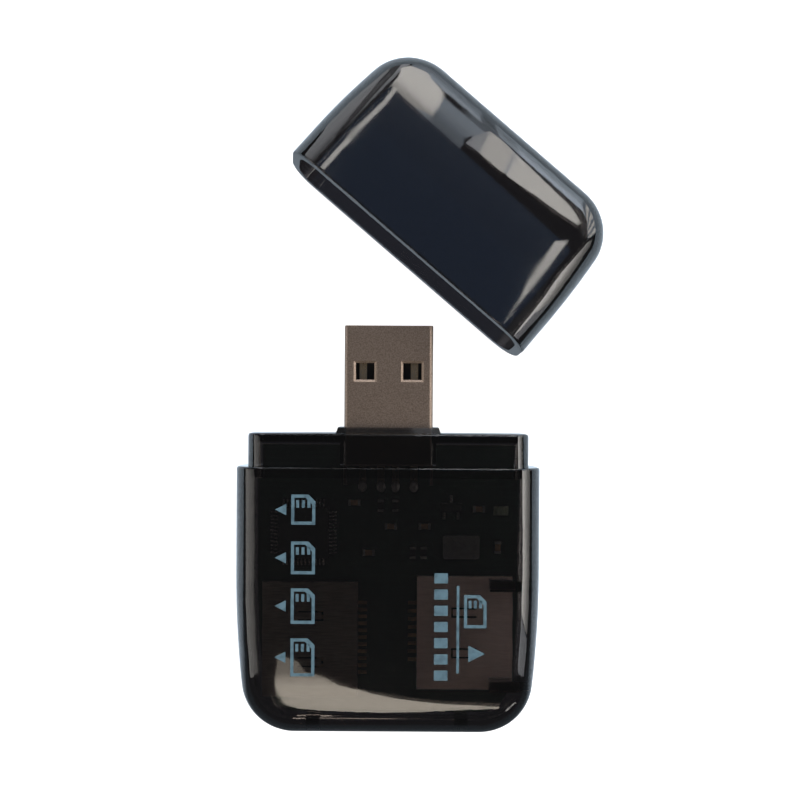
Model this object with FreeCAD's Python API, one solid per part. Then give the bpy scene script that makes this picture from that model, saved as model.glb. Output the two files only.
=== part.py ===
import FreeCAD, Part
import math
import os
from collections import namedtuple
from FreeCAD import Vector

# Pocket card reader with a pull-off cap. Millimetres, +Z up, lying on its back.
# The origin is the middle of the body's underside, and the plug points along +Y.

# Moulded housing
WALL = 1.4
CORNER_RADIUS = 7.2
SIDE_BOW_RADIUS = 140.0
EDGE_RADIUS = 4.0
END_FLAT_SHARE = 0.97
RIM_RADIUS = 0.3
BODY_SIDE_STRAIGHT = 14.0
BODY_FRONT_ROLL = 9.0
BODY_BACK_ROLL = 3.0
BODY_ROLL_RADIUS = 18.0
COLLAR_LENGTH = 4.5
COLLAR_WALL = 1.2
COLLAR_RIM_RADIUS = 0.4
BOSS_WIDTH = 14.6
BOSS_MARGIN = 1.3
BOSS_HEIGHT = 0.8
BOSS_DRAFT = 0.5
TONGUE_WIDTH = 0.6
TONGUE_HEIGHT = 0.6
FIT = 0.05

# Pull-off cap, and how it lies beside the reader
CAP_CLEARANCE = 0.12
CAP_END_CLEARANCE = 2.5
CAP_CROWN_RADIUS = 60.0
CAP_TURN = 40.5
CAP_MOUTH_X = 2.2
CAP_MOUTH_FROM_STEP = 28.6

# Plug
PLUG_WIDTH = 12.0
PLUG_HEIGHT = 4.5
PLUG_SHEET = 0.3
PLUG_CORNER_RADIUS = 0.6
PLUG_TIP_RADIUS = 0.12
PLUG_REACH = 14.6
PLUG_ROOT = 4.4
PLUG_CLEARANCE = 0.1
PLUG_SEAT_MARGIN = 0.45
PLUG_SEAT_SETBACK = 0.3
LATCH_HOLE_WIDTH = 2.5
LATCH_HOLE_LENGTH = 2.25
LATCH_HOLE_SPACING = 6.4
LATCH_HOLE_FROM_TIP = 5.1
LATCH_LIP_WIDTH = 0.3
LATCH_LIP_DEPTH = 0.2
TAB_LENGTH = 2.6
TAB_HEIGHT = 2.2
TONGUE_SETBACK = 0.5
TONGUE_BLOCK_LENGTH = 2.0
GROOVE_DEPTH = 0.2
PLUG_CONTACT_WIDTH = 1.0
PLUG_CONTACT_THICKNESS = 0.25
PLUG_CONTACT_TAIL = 3.4
PlugContact = namedtuple("PlugContact", "x setback")
PLUG_CONTACTS = {
    "power_contact": PlugContact(x=-3.5, setback=1.2),
    "data_minus_contact": PlugContact(x=-1.0, setback=2.2),
    "data_plus_contact": PlugContact(x=1.0, setback=2.2),
    "ground_contact": PlugContact(x=3.5, setback=1.2),
}

# Circuit board
BOARD_THICKNESS = 1.0
BOARD_GAP = 1.2
BOARD_END_MARGIN = 3.3
BOARD_STEP_GAP = 0.3
BOARD_NECK_GAP = 0.4
COMPONENT_ZONE = 11.6
CENTRE_GAP = 2.8
UNDER_GAP = 0.25

# Card sockets: what they share, then the card and the frame of each
Socket = namedtuple("Socket", "card_width card_thickness rail depth base")
MICRO_SOCKET = Socket(card_width=11.0, card_thickness=1.0, rail=1.65, depth=13.0, base=0.3)
SMALL_SOCKET = Socket(card_width=12.5, card_thickness=1.2, rail=1.0, depth=13.0, base=0.3)
LARGE_SOCKET = Socket(card_width=24.0, card_thickness=2.1, rail=1.3, depth=26.0, base=0.5)
SMALL_SOCKET_DROP = 0.8
SIDE_SOCKET_SETBACK = 0.9
LARGE_SOCKET_SETBACK = 0.6
COVER_SHEET = 0.2
COVER_SKIRT = 1.0
COVER_FINGER_LENGTH = 3.2
COVER_FINGER_WIDTH = 0.9
COVER_SLIT = 0.25
CARD_SIDE_GAP = 0.25
CARD_HEADROOM = 0.25
SLOT_SIDE_GAP = 0.4
REAR_WALL = 1.2
CONTACT_BAR = 1.5
CONTACT_WIDTH = 0.5
CONTACT_THICKNESS = 0.15
CONTACT_REACH = 4.4
CONTACT_BEND = 1.2
CONTACT_LIFT = 0.45
CONTACT_TAIL = 1.2
CONTACT_WINDOW_GAP = 0.6
ContactRow = namedtuple("ContactRow", "count pitch")
MICRO_ROW = ContactRow(count=8, pitch=1.1)
SMALL_ROW = ContactRow(count=11, pitch=0.95)
LARGE_ROW = ContactRow(count=9, pitch=2.5)
LARGE_INNER_ROW = ContactRow(count=10, pitch=1.7)

# Ribs and posts inside the housing
END_RIB_SPACING = 20.0
END_RIB_WIDTH = 1.8
SLOT_RIB_WIDTH = 1.4
SLOT_RIB_LENGTH = 5.4
RIB_GAP = 0.1
RIB_CARD_GAP = 0.5
POST_RADIUS = 1.3
POST_SIDE_GAP = 0.6
POST_FROM_STEP = 8.4
POST_FROM_END = 10.0

# Parts soldered on the board
CHIP_SIZE = 7.0
CHIP_HEIGHT = 1.4
CHIP_CHAMFER = 0.15
CHIP_STANDOFF = 0.1
CHIP_EDGE_GAP = 1.9
CHIP_LEADS_A_SIDE = 12
CHIP_LEAD_PITCH = 0.5
CHIP_LEAD_WIDTH = 0.22
LEAD_THICKNESS = 0.13
LEAD_REACH = 1.0
LEAD_FOOT = 0.45
LEAD_SHOULDER = 0.35
PIN_MARK_RADIUS = 0.4
PIN_MARK_DEPTH = 0.08
PIN_MARK_INSET = 1.0
REGULATOR_SIZE = (2.9, 1.3, 1.1)
REGULATOR_LEADS = ((-0.95, -1), (0.95, -1), (0.0, 1))
REGULATOR_LEAD_WIDTH = 0.4
CRYSTAL_SIZE = (5.0, 3.2, 0.8)
CRYSTAL_LID_INSET = 0.3
CRYSTAL_LID_HEIGHT = 0.3
CRYSTAL_CORNER = 0.4
LED_SIZE = (2.0, 1.25, 0.4)
LED_LENS_LENGTH = 1.2
LED_LENS_HEIGHT = 0.4
LED_LENS_CHAMFER = 0.1
PASSIVE_LENGTH = 1.6
PASSIVE_WIDTH = 0.8
CAPACITOR_HEIGHT = 0.8
RESISTOR_HEIGHT = 0.5
TERMINAL_LENGTH = 0.35
TERMINAL_STEP = 0.04

# Where they stand: three rows of parts, and how far in from the board's right edge
FRONT_ROW_FROM_TAILS = 2.1
MIDDLE_ROW_FROM_TAILS = 4.9
REAR_ROW_FROM_SOCKETS = 3.1
REGULATOR_EDGE_GAP = 9.3
REGULATOR_ROW_DROP = 0.2
CRYSTAL_EDGE_GAP = 7.9
CRYSTAL_ROW_RISE = 0.8
LED_EDGE_GAP = 2.5
LED_ROW_DROP = 0.6
FILTER_EDGE_GAP = 5.5
FILTER_ROW_DROP = 0.4
CRYSTAL_LOAD_EDGE_GAP = 2.9
SUPPLY_ROW_RISE = 0.4

# Cuts reach this far past the faces that they open
OVERSHOOT = 2.0
TOLERANCE = 1e-4


def socket_width(socket):
    return socket.card_width + 2 * (CARD_SIDE_GAP + socket.rail + COVER_SHEET)


def card_space(socket):
    return socket.card_thickness + CARD_HEADROOM


def frame_height(socket):
    return socket.base + card_space(socket)


# Heights: the large socket hangs under the board and the others stand on it, with
# the floor of their slots on the parting plane, which is the plug's middle too
BOARD_BOTTOM = WALL + UNDER_GAP + COVER_SHEET + frame_height(LARGE_SOCKET)
BOARD_TOP = BOARD_BOTTOM + BOARD_THICKNESS
PARTING_Z = BOARD_TOP + MICRO_SOCKET.base
BODY_THICKNESS = 2 * PARTING_Z

# Width: two side sockets back to back, or the large one between its posts
SIDE_BY_SIDE = SIDE_SOCKET_SETBACK + MICRO_SOCKET.depth + CONTACT_TAIL + CENTRE_GAP
POST_ZONE = 2 * (POST_RADIUS + POST_SIDE_GAP)
BOARD_HALF_WIDTH = max(SIDE_BY_SIDE, socket_width(LARGE_SOCKET) / 2 + POST_ZONE)
BODY_WIDTH = 2 * (BOARD_HALF_WIDTH + BOARD_GAP + WALL)

# Length: the sockets, the chips above them and the plug's tails
SOCKET_ZONE = BOARD_END_MARGIN + socket_width(MICRO_SOCKET)
BODY_LENGTH = (WALL + BOARD_GAP + SOCKET_ZONE + COMPONENT_ZONE
               + PLUG_CONTACT_TAIL + PLUG_ROOT - COLLAR_LENGTH)
STEP_Y = BODY_LENGTH / 2
BOARD_END_Y = WALL + BOARD_GAP - STEP_Y
SOCKET_TOP_Y = BOARD_END_Y + SOCKET_ZONE
TAIL_END_Y = SOCKET_TOP_Y + COMPONENT_ZONE
COLLAR_FRONT_Y = STEP_Y + COLLAR_LENGTH
PLUG_TIP_Y = COLLAR_FRONT_Y + PLUG_REACH
PLUG_REAR_Y = COLLAR_FRONT_Y - PLUG_ROOT
COLLAR_INSET = WALL + CAP_CLEARANCE
COLLAR_CAVITY_INSET = COLLAR_INSET + COLLAR_WALL
CAP_LENGTH = COLLAR_LENGTH + PLUG_REACH + CAP_END_CLEARANCE + WALL

# Rows of small parts between the plug's tails and the sockets
FRONT_ROW_Y = TAIL_END_Y - FRONT_ROW_FROM_TAILS
MIDDLE_ROW_Y = TAIL_END_Y - MIDDLE_ROW_FROM_TAILS
REAR_ROW_Y = SOCKET_TOP_Y + REAR_ROW_FROM_SOCKETS
CRYSTAL_ROW_Y = REAR_ROW_Y + CRYSTAL_ROW_RISE

# Each closed half: how far its sides, front and back run straight from its open end
Form = namedtuple("Form", "length side_straight front_straight back_straight face_radius")
READER_FORM = Form(BODY_LENGTH, BODY_SIDE_STRAIGHT, BODY_LENGTH - BODY_FRONT_ROLL,
                   BODY_LENGTH - BODY_BACK_ROLL, BODY_ROLL_RADIUS)
CAP_FORM = Form(CAP_LENGTH, COLLAR_LENGTH, COLLAR_LENGTH, COLLAR_LENGTH, CAP_CROWN_RADIUS)


def box(x0, x1, y0, y1, z0, z1):
    return Part.makeBox(x1 - x0, y1 - y0, z1 - z0, Vector(x0, y0, z0))


def arc(first, middle, last):
    return Part.Arc(first, middle, last).toShape()


def one_solid(shape):
    (solid,) = shape.Solids
    return solid


def joined(first, *others):
    return one_solid(first.fuse(list(others)).removeSplitter())


def carved(block, cuts):
    return one_solid(block.cut(cuts))


def middle_of(edge):
    return edge.valueAt((edge.FirstParameter + edge.LastParameter) / 2)


def edges_in_plane(shape, y):
    return [edge for edge in shape.Edges
            if abs(middle_of(edge).y - y) < TOLERANCE
            and all(abs(vertex.Y - y) < TOLERANCE for vertex in edge.Vertexes)]


def plan_wire(form, inset, top):
    """Plan of a closed half: open at y = top, bowed sides, round corners at y = -length."""
    half_width = BODY_WIDTH / 2 - inset
    length = form.length - inset
    bow = SIDE_BOW_RADIUS - inset
    corner = CORNER_RADIUS - inset
    run = form.length - CORNER_RADIUS - form.side_straight
    reach = bow - corner
    turn = math.asin(run / reach)
    bow_x = half_width - bow
    corner_x = bow_x + reach * math.cos(turn)

    def side(sign):
        def on_bow(angle):
            x = bow_x + bow * math.cos(angle)
            return Vector(sign * x, -form.side_straight - bow * math.sin(angle))

        def on_corner(angle):
            x = corner_x + corner * math.cos(angle)
            return Vector(sign * x, corner - length - corner * math.sin(angle))

        quarter = math.pi / 2
        return [
            Part.makeLine(Vector(sign * half_width, top), on_bow(0)),
            arc(on_bow(0), on_bow(turn / 2), on_bow(turn)),
            arc(on_bow(turn), on_corner((turn + quarter) / 2), on_corner(quarter)),
        ]

    end = Part.makeLine(Vector(corner_x, -length), Vector(-corner_x, -length))
    mouth = Part.makeLine(Vector(-half_width, top), Vector(half_width, top))
    return Part.Wire(Part.__sortEdges__(side(1) + [end] + side(-1) + [mouth]))


def side_wire(form, inset, top):
    """Section along y: flat front and back that roll together towards the closed end."""
    half = BODY_THICKNESS / 2 - inset
    length = form.length - inset
    radius = form.face_radius - inset

    def face(sign, start):
        turn = math.asin((length - start) / radius)

        def on_roll(angle):
            z = half - radius + radius * math.cos(angle)
            return Vector(0, -start - radius * math.sin(angle), sign * z)

        return [
            Part.makeLine(Vector(0, top, sign * half), on_roll(0)),
            arc(on_roll(0), on_roll(turn / 2), on_roll(turn)),
        ]

    upper = face(1, form.front_straight)
    lower = face(-1, form.back_straight)
    end = Part.makeLine(upper[1].Vertexes[-1].Point, lower[1].Vertexes[-1].Point)
    mouth = Part.makeLine(Vector(0, top, half), Vector(0, top, -half))
    return Part.Wire(Part.__sortEdges__(upper + [end] + lower + [mouth]))


def plan_slab(form, inset, top, z0, z1):
    slab = Part.Face(plan_wire(form, inset, top)).extrude(Vector(0, 0, z1 - z0))
    return slab.translated(Vector(0, 0, z0))


def edge_radius(form):
    """Rounding of the front and back edges, as far as the closed end's height allows."""
    limits = [EDGE_RADIUS]
    for start in (form.front_straight, form.back_straight):
        slope = math.asin((form.length - start) / form.face_radius)
        end_height = BODY_THICKNESS / 2 - form.face_radius * (1 - math.cos(slope))
        limits.append(END_FLAT_SHARE * end_height / math.tan((math.pi / 2 - slope) / 2))
    return min(limits)


def pillow(form, inset=0.0, top=0.0):
    """Closed half of the housing, drawn in evenly by the inset, its middle plane on z = 0."""
    plan = plan_slab(form, inset, top, -BODY_THICKNESS, BODY_THICKNESS)
    section = Part.Face(side_wire(form, inset, top)).extrude(Vector(2 * BODY_WIDTH, 0, 0))
    block = plan.common(section.translated(Vector(-BODY_WIDTH, 0, 0)))
    end_y = inset - form.length

    def is_rim(edge):
        middle = middle_of(edge)
        on_mouth = abs(middle.y - top) < TOLERANCE
        upright = abs(edge.BoundBox.ZLength - edge.Length) < TOLERANCE
        across = abs(middle.x) < TOLERANCE and middle.y > end_y + TOLERANCE
        return not (on_mouth or upright or across)

    rims = [edge for edge in block.Edges if is_rim(edge)]
    return one_solid(block.makeFillet(edge_radius(form) - inset, rims))


def on_reader(shape):
    return shape.translated(Vector(0, STEP_Y, PARTING_Z))


def rounded_bar(half_x, half_z, radius, y0, y1):
    """Bar along y about the plug's axis, its four long edges rounded."""
    bar = box(-half_x, half_x, y0, y1, PARTING_Z - half_z, PARTING_Z + half_z)
    long_edges = [edge for edge in bar.Edges if edge.BoundBox.YLength > TOLERANCE]
    return bar.makeFillet(radius, long_edges)


def plug_opening(y0, y1):
    return rounded_bar(PLUG_WIDTH / 2 + PLUG_CLEARANCE, PLUG_HEIGHT / 2 + PLUG_CLEARANCE,
                       PLUG_CORNER_RADIUS, y0, y1)


def boss():
    """Low pad at the root of the plug, drafted as it leaves the mould."""
    half_x = BOSS_WIDTH / 2
    half_z = PLUG_HEIGHT / 2 + BOSS_MARGIN
    base = COLLAR_FRONT_Y - COLLAR_WALL / 2
    draft = BOSS_DRAFT
    return Part.makeWedge(-half_x, base, PARTING_Z - half_z, PARTING_Z - half_z + draft, draft - half_x,
                          half_x, COLLAR_FRONT_Y + BOSS_HEIGHT, PARTING_Z + half_z,
                          PARTING_Z + half_z - draft, half_x - draft)


def housing():
    """Both shells in one, hollow, with the collar that the cap slides over and the plug's seat."""
    body = pillow(READER_FORM)
    body = on_reader(body.makeFillet(RIM_RADIUS, edges_in_plane(body, 0.0)))
    collar = rounded_bar(BODY_WIDTH / 2 - COLLAR_INSET, BODY_THICKNESS / 2 - COLLAR_INSET,
                         edge_radius(CAP_FORM) - COLLAR_INSET, STEP_Y - WALL, COLLAR_FRONT_Y)
    collar = collar.makeFillet(COLLAR_RIM_RADIUS, edges_in_plane(collar, COLLAR_FRONT_Y))
    cavity = on_reader(pillow(READER_FORM, WALL, -WALL))
    neck_half_x = BODY_WIDTH / 2 - COLLAR_CAVITY_INSET
    neck_half_z = BODY_THICKNESS / 2 - COLLAR_CAVITY_INSET
    neck = rounded_bar(neck_half_x, neck_half_z, edge_radius(CAP_FORM) - COLLAR_CAVITY_INSET,
                       STEP_Y - WALL - OVERSHOOT, COLLAR_FRONT_Y - COLLAR_WALL)
    seat_half_x = PLUG_WIDTH / 2 + PLUG_SEAT_MARGIN
    seat = box(-seat_half_x, seat_half_x, PLUG_REAR_Y + PLUG_SEAT_SETBACK, COLLAR_FRONT_Y, 0, BODY_THICKNESS)
    opening = plug_opening(PLUG_REAR_Y, COLLAR_FRONT_Y + BOSS_HEIGHT + OVERSHOOT)
    return carved(joined(body, collar, boss()), [cavity, neck.cut(seat), opening])


def rim_ring(grow, z1):
    """Lip along the inner side of the parting line, round the three outer walls."""
    outer = plan_slab(READER_FORM, WALL - TONGUE_WIDTH - grow, -OVERSHOOT, -TONGUE_HEIGHT, z1)
    inner = plan_slab(READER_FORM, WALL, 0.0, -2 * TONGUE_HEIGHT, 2 * z1)
    return on_reader(outer.cut(inner))


def half_space(above):
    reach = BODY_WIDTH + PLUG_TIP_Y
    if above:
        return box(-reach, reach, -reach, reach, PARTING_Z, PARTING_Z + reach)
    return box(-reach, reach, -reach, reach, PARTING_Z - reach, PARTING_Z)


def side_slot(socket, centre_y, sign):
    """Slot for a card through a side wall, its floor on the parting plane."""
    half = socket.card_width / 2 + SLOT_SIDE_GAP
    inner = BOARD_HALF_WIDTH
    outer = BODY_WIDTH / 2 + OVERSHOOT
    lower, upper = sorted((sign * inner, sign * outer))
    return box(lower, upper, centre_y - half, centre_y + half,
               PARTING_Z, PARTING_Z + card_space(socket))


def large_slot():
    half = LARGE_SOCKET.card_width / 2 + SLOT_SIDE_GAP
    top = BOARD_BOTTOM - LARGE_SOCKET.base
    return box(-half, half, -STEP_Y - OVERSHOOT, BOARD_END_Y, top - card_space(LARGE_SOCKET), top)


MICRO_CENTRE_Y = SOCKET_TOP_Y - socket_width(MICRO_SOCKET) / 2
SMALL_CENTRE_Y = SOCKET_TOP_Y - SMALL_SOCKET_DROP - socket_width(SMALL_SOCKET) / 2


def end_rib(x):
    """Rib from the front wall down past the board's end, which it locates."""
    half = END_RIB_WIDTH / 2
    board_top_end = BOARD_END_Y - RIB_GAP
    plate = box(x - half, x + half, -STEP_Y, board_top_end, BOARD_BOTTOM, BODY_THICKNESS)
    root = box(x - half, x + half, -STEP_Y, board_top_end,
               PARTING_Z + TONGUE_HEIGHT + 2 * FIT, BODY_THICKNESS)
    free = plate.common(on_reader(pillow(READER_FORM, WALL + FIT)))
    return joined(free, root.common(on_reader(pillow(READER_FORM, WALL / 2))))


def slot_rib(y):
    """Rib that guides the card beside the micro slot, clear of the socket's cover."""
    half = SLOT_RIB_WIDTH / 2
    outer = BODY_WIDTH / 2
    lowest = BOARD_TOP + frame_height(MICRO_SOCKET) + COVER_SHEET + RIB_GAP
    plate = box(outer - WALL - SLOT_RIB_LENGTH, outer, y - half, y + half, lowest, BODY_THICKNESS)
    return plate.common(on_reader(pillow(READER_FORM, WALL / 2)))


def front_shell(whole):
    shell = whole.common(half_space(True)).cut(rim_ring(FIT, TONGUE_HEIGHT + FIT))
    ribs = [end_rib(sign * END_RIB_SPACING / 2) for sign in (-1, 1)]
    guide = MICRO_SOCKET.card_width / 2 + RIB_CARD_GAP + SLOT_RIB_WIDTH / 2
    ribs += [slot_rib(MICRO_CENTRE_Y + sign * guide) for sign in (-1, 1)]
    slots = [side_slot(MICRO_SOCKET, MICRO_CENTRE_Y, 1), side_slot(SMALL_SOCKET, SMALL_CENTRE_Y, -1)]
    return carved(joined(shell, *ribs), slots)


def back_shell(whole):
    shell = whole.common(half_space(False))
    slots = [side_slot(MICRO_SOCKET, MICRO_CENTRE_Y, 1), side_slot(SMALL_SOCKET, SMALL_CENTRE_Y, -1)]
    tongue = rim_ring(0.0, TONGUE_HEIGHT).cut(slots)
    post_x = (socket_width(LARGE_SOCKET) / 2 + BOARD_HALF_WIDTH) / 2
    post_ys = (STEP_Y - POST_FROM_STEP, POST_FROM_END - STEP_Y)
    height = BOARD_BOTTOM - WALL / 2
    posts = [Part.makeCylinder(POST_RADIUS, height, Vector(sign * post_x, y, WALL / 2))
             for sign in (-1, 1) for y in post_ys]
    return carved(joined(shell, tongue, *posts), [large_slot()])


def cap():
    """Hollow cap. It lies on its crowned back, tipped to where its weight balances."""
    outer = pillow(CAP_FORM)
    outer = outer.makeFillet(RIM_RADIUS, edges_in_plane(outer, 0.0))
    lying = carved(outer, [pillow(CAP_FORM, WALL, OVERSHOOT)])
    balance = -lying.CenterOfMass.y - CAP_FORM.back_straight
    rise = CAP_CROWN_RADIUS - BODY_THICKNESS / 2
    tip = math.atan2(balance, rise)
    lift = CAP_CROWN_RADIUS + CAP_FORM.back_straight * math.sin(tip) - rise * math.cos(tip)
    lying.rotate(Vector(), Vector(1, 0, 0), math.degrees(tip))
    lying.rotate(Vector(), Vector(0, 0, 1), 180 - CAP_TURN)
    return lying.translated(Vector(CAP_MOUTH_X, STEP_Y + CAP_MOUTH_FROM_STEP, lift))


def rectangle(x, y, half_x, half_y, z):
    corners = [Vector(x - half_x, y - half_y, z), Vector(x + half_x, y - half_y, z),
               Vector(x + half_x, y + half_y, z), Vector(x - half_x, y + half_y, z)]
    return Part.makePolygon(corners + corners[:1])


def latch_lip(x, y, side):
    """Edge round a latch hole, pressed in as the hole is punched: a tapered cut."""
    half_x = LATCH_HOLE_WIDTH / 2
    half_y = LATCH_HOLE_LENGTH / 2
    face = PARTING_Z + side * PLUG_HEIGHT / 2
    outer = rectangle(x, y, half_x + LATCH_LIP_WIDTH, half_y + LATCH_LIP_WIDTH, face)
    inner = rectangle(x, y, half_x, half_y, face - side * LATCH_LIP_DEPTH)
    return Part.makeLoft([outer, inner], True, True)


def plug_shell():
    """Folded sheet tube with four latch holes and two soldering tabs."""
    half_x = PLUG_WIDTH / 2
    half_z = PLUG_HEIGHT / 2
    tube = rounded_bar(half_x, half_z, PLUG_CORNER_RADIUS, PLUG_REAR_Y, PLUG_TIP_Y)
    tube = tube.makeFillet(PLUG_TIP_RADIUS, edges_in_plane(tube, PLUG_TIP_Y))
    tabs = [box(x0, x0 + PLUG_SHEET, PLUG_REAR_Y - TAB_LENGTH, PLUG_REAR_Y + PLUG_SHEET,
                PARTING_Z - TAB_HEIGHT / 2, PARTING_Z + TAB_HEIGHT / 2)
            for x0 in (-half_x, half_x - PLUG_SHEET)]
    bore = rounded_bar(half_x - PLUG_SHEET, half_z - PLUG_SHEET, PLUG_CORNER_RADIUS - PLUG_SHEET,
                       PLUG_REAR_Y - OVERSHOOT, PLUG_TIP_Y + OVERSHOOT)
    hole_half = LATCH_HOLE_LENGTH / 2
    hole_y = PLUG_TIP_Y - LATCH_HOLE_FROM_TIP - hole_half
    cuts = [bore]
    for x in (-LATCH_HOLE_SPACING / 2, LATCH_HOLE_SPACING / 2):
        cuts.append(box(x - LATCH_HOLE_WIDTH / 2, x + LATCH_HOLE_WIDTH / 2, hole_y - hole_half,
                        hole_y + hole_half, PARTING_Z - PLUG_HEIGHT, PARTING_Z + PLUG_HEIGHT))
        cuts += [latch_lip(x, hole_y, side) for side in (-1, 1)]
    return carved(joined(tube, *tabs), cuts)


def plug_tongue():
    """Insulating tongue on the floor of the plug, with a groove for each contact."""
    half_x = PLUG_WIDTH / 2 - PLUG_CORNER_RADIUS
    floor = PARTING_Z - PLUG_HEIGHT / 2 + PLUG_SHEET
    roof = PARTING_Z + PLUG_HEIGHT / 2 - PLUG_SHEET - FIT
    blade = box(-half_x, half_x, PLUG_REAR_Y, PLUG_TIP_Y - TONGUE_SETBACK,
                floor, BOARD_TOP + GROOVE_DEPTH)
    block = box(-half_x, half_x, PLUG_REAR_Y, PLUG_REAR_Y + TONGUE_BLOCK_LENGTH, floor, roof)
    groove_half = PLUG_CONTACT_WIDTH / 2 + FIT
    groove_top = BOARD_TOP + PLUG_CONTACT_THICKNESS + FIT
    grooves = [box(contact.x - groove_half, contact.x + groove_half, PLUG_REAR_Y - OVERSHOOT, PLUG_TIP_Y,
                   BOARD_TOP, groove_top)
               for contact in PLUG_CONTACTS.values()]
    return carved(joined(blade, block), grooves)


def plug_contact(contact):
    half = PLUG_CONTACT_WIDTH / 2
    return box(contact.x - half, contact.x + half, TAIL_END_Y, PLUG_TIP_Y - TONGUE_SETBACK - contact.setback,
               BOARD_TOP, BOARD_TOP + PLUG_CONTACT_THICKNESS)


def circuit_board():
    """Board on the housing's plan, with a neck into the collar and a notch for the plug's seat."""
    main = on_reader(plan_slab(READER_FORM, WALL + BOARD_GAP, -WALL - BOARD_STEP_GAP,
                               BOARD_BOTTOM - PARTING_Z, BOARD_TOP - PARTING_Z))
    neck_half = BODY_WIDTH / 2 - COLLAR_CAVITY_INSET - BOARD_NECK_GAP
    neck = box(-neck_half, neck_half, STEP_Y - 2 * WALL - BOARD_STEP_GAP,
               COLLAR_FRONT_Y - COLLAR_WALL - BOARD_NECK_GAP, BOARD_BOTTOM, BOARD_TOP)
    notch_half = PLUG_WIDTH / 2 + PLUG_SEAT_MARGIN + PLUG_CLEARANCE
    notch = box(-notch_half, notch_half, PLUG_REAR_Y - PLUG_CLEARANCE, PLUG_TIP_Y, 0, BODY_THICKNESS)
    slot_end = PLUG_REAR_Y - TAB_LENGTH - PLUG_CLEARANCE
    slot_width = PLUG_SHEET + 2 * PLUG_CLEARANCE
    slot_half = PLUG_WIDTH / 2 + PLUG_CLEARANCE
    slots = [box(x0, x0 + slot_width, slot_end, PLUG_REAR_Y, 0, BODY_THICKNESS)
             for x0 in (-slot_half, slot_half - slot_width)]
    return carved(joined(main, neck), [notch] + slots)


def strip(path, thickness, v0, v1):
    """Bent strip of sheet: its lower edge follows the (u, w) path, and it spans v0 to v1."""
    points = [Vector(u, v0, w) for u, w in path]
    runs = [(after - before).normalize() for before, after in zip(points, points[1:])]
    upper = []
    for i, point in enumerate(points):
        before = runs[max(i - 1, 0)]
        after = runs[min(i, len(runs) - 1)]
        normal = Vector(0, -1, 0).cross(before + after).normalize()
        square = Vector(0, -1, 0).cross(before)
        upper.append(point + normal * (thickness / normal.dot(square)))
    outline = Part.makePolygon(points + upper[::-1] + points[:1])
    return Part.Face(outline).extrude(Vector(0, v1 - v0, 0))


def row_places(row):
    return [(i - (row.count - 1) / 2) * row.pitch for i in range(row.count)]


def rear_root(socket):
    return socket.depth - REAR_WALL


def inner_root(socket):
    return rear_root(socket) - CONTACT_REACH - CONTACT_WINDOW_GAP - CONTACT_BAR


def contact_cuts(row, root, root_length, base):
    """Window that the spring arms move in, and the notches that hold their roots."""
    span = row_places(row)[-1] + CONTACT_WIDTH / 2 + CONTACT_WINDOW_GAP
    window = box(root - CONTACT_REACH - CONTACT_WINDOW_GAP, root, -span, span, -base, 2 * base)
    half = CONTACT_WIDTH / 2 + FIT
    notches = [box(root, root + root_length, v - half, v + half, -base, CONTACT_THICKNESS + FIT)
               for v in row_places(row)]
    return [window] + notches


def socket_frame(socket, rows):
    """Moulded tray. Its mouth is at u = 0, u runs inwards and w away from the board."""
    half = socket_width(socket) / 2 - COVER_SHEET
    card_half = socket.card_width / 2 + CARD_SIDE_GAP
    tray = box(0, socket.depth, -half, half, 0, frame_height(socket))
    space = box(-OVERSHOOT, rear_root(socket), -card_half, card_half,
                socket.base, frame_height(socket) + OVERSHOOT)
    cuts = [space]
    for row, root, root_length in rows:
        cuts += contact_cuts(row, root, root_length, socket.base)
    return carved(tray, cuts)


def socket_cover(socket):
    """Sheet cover, folded down over the rails, with two spring fingers cut free on three sides."""
    half = socket_width(socket) / 2
    top = frame_height(socket)
    cover = box(0, socket.depth, -half, half, top - COVER_SKIRT, top + COVER_SHEET)
    cover = cover.cut(box(-OVERSHOOT, socket.depth + OVERSHOOT, COVER_SHEET - half, half - COVER_SHEET,
                          top - 2 * COVER_SKIRT, top))
    middle = socket.depth / 2
    root = middle - COVER_FINGER_LENGTH / 2
    tip = middle + COVER_FINGER_LENGTH / 2
    half_width = COVER_FINGER_WIDTH / 2
    outer_half = half_width + COVER_SLIT
    low = top - COVER_SHEET
    high = top + OVERSHOOT
    slits = []
    for v in (-socket.card_width / 4, socket.card_width / 4):
        window = box(root, tip + COVER_SLIT, v - outer_half, v + outer_half, low, high)
        slits.append(window.cut(box(root, tip, v - half_width, v + half_width, low, high)))
    return carved(cover, slits)


def socket_contacts(socket, row, root, root_length):
    """Row of spring strips, each soldered to the board behind its root."""
    lift = socket.base + CONTACT_LIFT
    path = [(root + root_length + CONTACT_TAIL, 0), (root, 0),
            (root - CONTACT_REACH + CONTACT_BEND, lift), (root - CONTACT_REACH, lift - CONTACT_THICKNESS)]
    path.reverse()
    half = CONTACT_WIDTH / 2
    return Part.makeCompound([strip(path, CONTACT_THICKNESS, v - half, v + half) for v in row_places(row)])


def placed(shape, origin, u_axis, w_axis):
    """Turns a socket to the given u and w axes, and moves its mouth to the origin."""
    v_axis = w_axis.cross(u_axis)
    turn = FreeCAD.Matrix(u_axis.x, v_axis.x, w_axis.x, origin.x,
                          u_axis.y, v_axis.y, w_axis.y, origin.y,
                          u_axis.z, v_axis.z, w_axis.z, origin.z,
                          0, 0, 0, 1)
    return shape.transformed(turn, copy=True)


def socket_pieces(name, socket, rows, origin, u_axis, w_axis):
    pieces = {name + "_frame": socket_frame(socket, rows.values()), name + "_cover": socket_cover(socket)}
    for row_name, (row, root, root_length) in rows.items():
        pieces[name + row_name] = socket_contacts(socket, row, root, root_length)
    return {node: placed(shape, origin, u_axis, w_axis) for node, shape in pieces.items()}


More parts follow.
